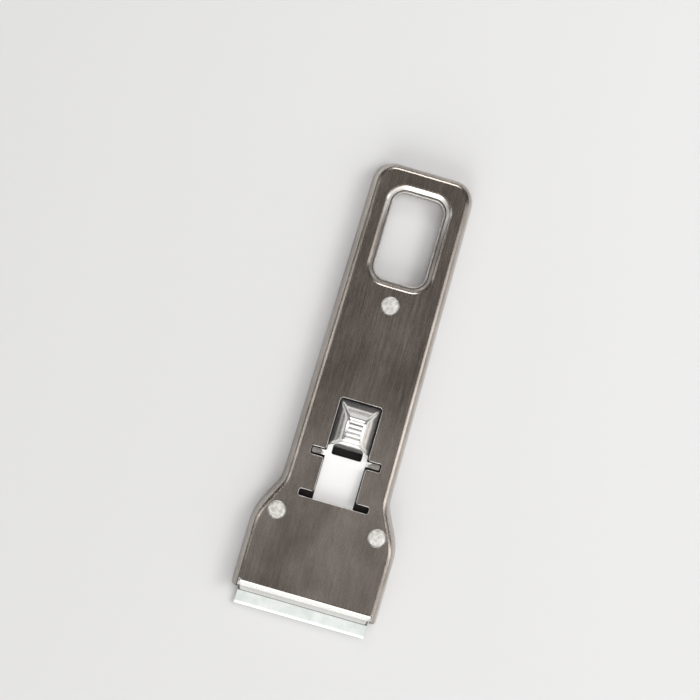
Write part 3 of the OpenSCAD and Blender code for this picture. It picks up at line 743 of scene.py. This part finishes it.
def buildButton():
    bm = bmesh.new()
    b = button
    middle, length = (b["front"] + b["back"]) / 2, b["back"] - b["front"]
    padMiddle = b["front"] + b["padFront"] + b["padLength"] / 2
    bmesh.ops.create_grid(bm, x_segments=1, y_segments=1, size=1)
    bmesh.ops.scale(bm, verts=bm.verts[:], vec=(b["half"], length / 2, 1))
    bmesh.ops.translate(bm, verts=bm.verts[:], vec=(0, middle, b["base"]))
    face = bm.faces[:]
    for rise, halfX, halfY, at in (
            (b["lip"], b["half"], length / 2, middle),
            (b["top"] - b["base"] - b["lip"], b["padHalf"], b["padLength"] / 2, padMiddle)):
        made = bmesh.ops.extrude_face_region(bm, geom=face)["geom"]
        verts = onlyVerts(made)
        old = verts[0].co.z
        bmesh.ops.delete(bm, geom=face, context="FACES_ONLY")
        for v in verts:
            x, y = math.copysign(halfX, v.co.x), at + math.copysign(halfY, v.co.y - middle)
            v.co = (x, y, old + rise)
        middle = at
        face = [g for g in made if isinstance(g, bmesh.types.BMFace)]
    ridges = [e for e in bm.edges if abs(e.verts[0].co.z - e.verts[1].co.z) > b["lip"] + touching]
    bmesh.ops.bevel(
        bm, geom=ridges + face[0].edges[:], affect="EDGES", offset=b["soft"], offset_type="OFFSET",
        segments=b["softSteps"], profile=0.5, material=-1, clamp_overlap=True)
    bmesh.ops.remove_doubles(bm, verts=bm.verts[:], dist=weldDistance)
    bmesh.ops.recalc_face_normals(bm, faces=bm.faces[:])
    if sum(f.normal.z * f.calc_area() for f in bm.faces) < 0:
        bmesh.ops.reverse_faces(bm, faces=bm.faces[:])
    bmesh.ops.solidify(bm, geom=bm.faces[:], thickness=b["sheet"])
    # ribs across the pad, round along their length and at their ends
    pitch = b["padLength"] / b["ribs"]
    for i in range(b["ribs"]):
        y = b["front"] + b["padFront"] + (i + 0.5) * pitch
        known = set(bm.verts[:])
        end = [bm.verts.new((-b["ribHalf"] - b["ribRadius"], y, b["top"]))]
        end = swing(bm, end, (-b["ribHalf"], y, b["top"]), (0, 1, 0), 90, b["ribSteps"] // 4)
        end = pull(bm, end, (2 * b["ribHalf"], 0, 0))
        swing(bm, end, (b["ribHalf"], y, b["top"]), (0, 1, 0), 90, b["ribSteps"] // 4)
        outline = [v for v in bm.verts if v not in known]
        bmesh.ops.spin(
            bm, geom=outline + [e for e in bm.edges if e.verts[0] in set(outline)], cent=(0, y, b["top"]),
            axis=acrossView, dvec=(0, 0, 0), angle=math.tau, steps=b["ribSteps"], use_merge=True,
            use_normal_flip=False, use_duplicate=False)
        bmesh.ops.remove_doubles(bm, verts=[v for v in bm.verts if v not in known], dist=weldDistance)
        bmesh.ops.recalc_face_normals(bm, faces=[f for f in bm.faces if f.verts[0] not in known])
    # tabs through the slot in front and over the leaf's end, closed under it
    low, sheet, foot = b["tabLow"], b["tabSheet"], b["tabFoot"]
    for near, far, footNear, footFar in (
            (b["front"], b["front"] + sheet, b["front"], b["front"] + foot),
            (b["back"] - sheet, b["back"], b["back"] - foot, b["back"])):
        addBlock(bm, (-b["tabHalf"], near, low), (b["tabHalf"], far, b["base"] + b["tabOverlap"]))
        addBlock(bm, (-b["tabHalf"], footNear, low), (b["tabHalf"], footFar, low + sheet))
    finishPiece("thumbButton", bm, buttonSteel, "latch", ["thumb_button"])


buildButton()


# CAD nodes that stay as they are get their finishes, the blade's with its painted shade by the mouth.
finishes = {
    "blade_carrier": carrierSteel, "blade_pegs": rivetSteel, "blade": bladeSteel, "leaf_rivets": rivetSteel,
}
for node, material in finishes.items():
    for place in frame["nodes"][node].material_slots:
        place.material = material
print("finishes given to", ", ".join(finishes))


# Studio: pale floor, soft lamps and a plain world.
studio = {
    "floor": {"colour": (0.74, 0.74, 0.74), "roughness": 0.9, "half": 1.5, "below": 0.0002},
    "lamps": {
        "key softbox": {"place": (0.6, 0.25, 0.65), "size": (0.4, 0.4), "power": 3, "mirrored": False},
        "fill softbox": {"place": (0.2, 0, 1.4), "size": (1, 1), "power": 4, "mirrored": False},
        "face panel": {"place": (0, -0.125, 1.2), "size": (0.6, 0.2), "power": 0.19, "mirrored": True},
        "end panel": {"place": (0, 0.27, 1.2), "size": (0.5, 0.2), "power": 0.07, "mirrored": True},
        "front strip": {"place": (0, -0.75, 0.5), "size": (0.6, 0.7), "power": 2.6, "mirrored": True},
        "left strip": {"place": (-0.75, 0, 1), "size": (0.14, 0.9), "power": 1.1, "mirrored": True},
        "right strip": {"place": (0.8, 0, 0.8), "size": (0.24, 0.9), "power": 1.5, "mirrored": True},
        "back strip": {"place": (0, 0.85, 0.75), "size": (0.5, 0.3), "power": 2.4, "mirrored": True},
    },
    # the world is bright in front and to the right, above a low backdrop and under a dark overhead
    "backdrop": (0.82, 0.82, 0.81), "backdropEnd": (0.16, 0.26),
    "overhead": (0.056, 0.043, 0.034), "overheadStart": (0.5, 0.95),
    "darkSide": (0.1, 0.1, 0.11), "brightSide": (1.3, 1.28, 1.25),
    "towardsBright": {"X": 0.4, "Y": -0.9}, "sideRange": (0.1, 0.8),
    "camera": {
        "lens": 100, "sensor": 36, "tilt": -0.97, "lean": 1.57, "turn": -16.22,
        "shift": (0.00397, -0.01368), "far": 0.58057},
}


def buildFloor(look):
    material = bpy.data.materials.new("pale floor")
    material.use_nodes = True
    shader = material.node_tree.nodes["Principled BSDF"]
    shader.inputs["Base Color"].default_value = (*look["colour"], 1)
    shader.inputs["Roughness"].default_value = look["roughness"]
    bm = bmesh.new()
    bmesh.ops.create_grid(bm, x_segments=1, y_segments=1, size=look["half"])
    bmesh.ops.translate(bm, verts=bm.verts[:], vec=(0, 0, -look["below"]))
    mesh = bpy.data.meshes.new("floor")
    bm.to_mesh(mesh)
    bm.free()
    mesh.materials.append(material)
    floor = bpy.data.objects.new("floor", mesh)
    bpy.context.scene.collection.objects.link(floor)


def softLamp(name, look):
    data = bpy.data.lights.new(name, "AREA")
    data.shape = "RECTANGLE"
    data.size, data.size_y = look["size"]
    data.energy = look["power"]
    lamp = bpy.data.objects.new(name, data)
    lamp.location = look["place"]
    lamp.rotation_euler = (-Vector(look["place"])).to_track_quat("-Z", "Y").to_euler()
    lamp.visible_glossy = look["mirrored"]
    bpy.context.scene.collection.objects.link(lamp)


def buildWorld(look):
    world = bpy.data.worlds.new("studio")
    bpy.context.scene.world = world
    world.use_nodes = True
    nodes, links = world.node_tree.nodes, world.node_tree.links
    direction = nodes.new("ShaderNodeTexCoord")
    split = nodes.new("ShaderNodeSeparateXYZ")
    links.new(direction.outputs["Generated"], split.inputs["Vector"])
    shares = [mathNode(nodes, links, "MULTIPLY", split.outputs[axis], share)
              for axis, share in look["towardsBright"].items()]
    side = rangeNode(nodes, links, mathNode(nodes, links, "ADD", *shares), *look["sideRange"], 0, 1)
    height = rangeNode(nodes, links, split.outputs["Z"], *look["overheadStart"], 0, 1)
    low = rangeNode(nodes, links, split.outputs["Z"], *look["backdropEnd"], 0, 1)
    colour = colourMix(nodes, links, side, look["darkSide"], look["brightSide"])
    colour = colourMix(nodes, links, height, colour, look["overhead"])
    colour = colourMix(nodes, links, low, look["backdrop"], colour)
    links.new(colour, nodes["Background"].inputs["Color"])


def placeCamera(view):
    toCamera = (
        Matrix.Translation((*view["shift"], -view["far"]))
        @ Matrix.Rotation(math.radians(view["turn"]), 4, "Z")
        @ Matrix.Rotation(math.radians(view["lean"]), 4, "Y")
        @ Matrix.Rotation(math.radians(view["tilt"]), 4, "X"))
    data = bpy.data.cameras.new("camera")
    data.lens = view["lens"]
    data.sensor_width = view["sensor"]
    camera = bpy.data.objects.new("camera", data)
    camera.matrix_world = toCamera.inverted()
    bpy.context.scene.collection.objects.link(camera)
    bpy.context.scene.camera = camera


buildFloor(studio["floor"])
for name, look in studio["lamps"].items():
    softLamp(name, look)
buildWorld(studio)
placeCamera(studio["camera"])
bpy.context.scene.view_settings.view_transform = "Standard"
print("studio ready")
